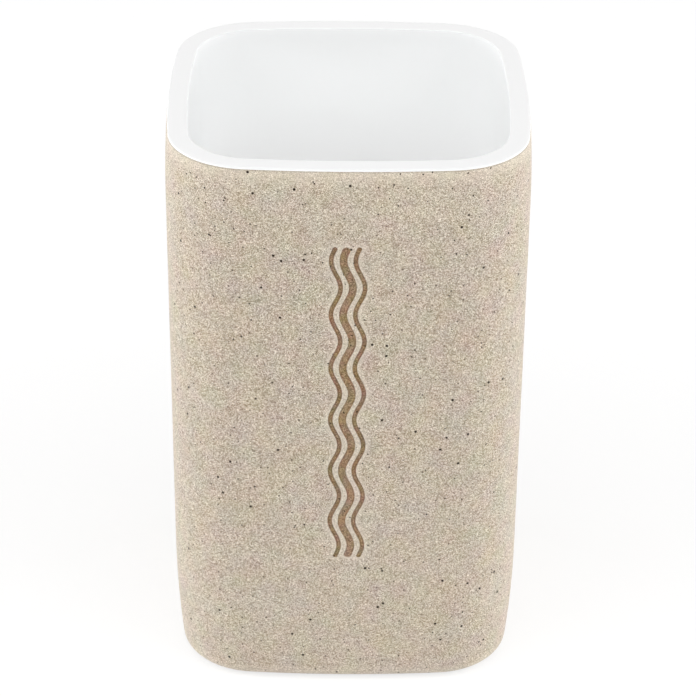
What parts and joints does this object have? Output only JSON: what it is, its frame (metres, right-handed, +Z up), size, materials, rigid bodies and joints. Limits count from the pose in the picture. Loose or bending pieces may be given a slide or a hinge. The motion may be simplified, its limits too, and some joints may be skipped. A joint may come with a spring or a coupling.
{
  "type": "bathroom tumbler",
  "caption": "Square-plan bathroom tumbler: a sandstone-look resin sleeve around a white drop-in cup, on a soft base pad.",
  "frame": {"origin": "centre of the base pad's underside, where the tumbler rests", "axes": "+Z up through the open mouth, -Y towards the engraved side, +X to the right seen from that side"},
  "size_m": [0.071, 0.071, 0.1155],
  "materials": {
    "sandstone_resin": "cast sand-filled resin, fine matt grain with dark specks",
    "white_plastic": "moulded, semi-gloss",
    "sealant": "cured silicone",
    "glue": "set epoxy dab",
    "foam": "closed-cell foam, matt"
  },
  "bodies": {
    "root": {"outer_sleeve": "sandstone_resin", "inner_cup": "white_plastic", "rim_seal": "sealant", "glue_front_left": "glue", "glue_front_right": "glue", "glue_back_left": "glue", "glue_back_right": "glue", "base_pad": "foam"}
  },
  "joints": []
}
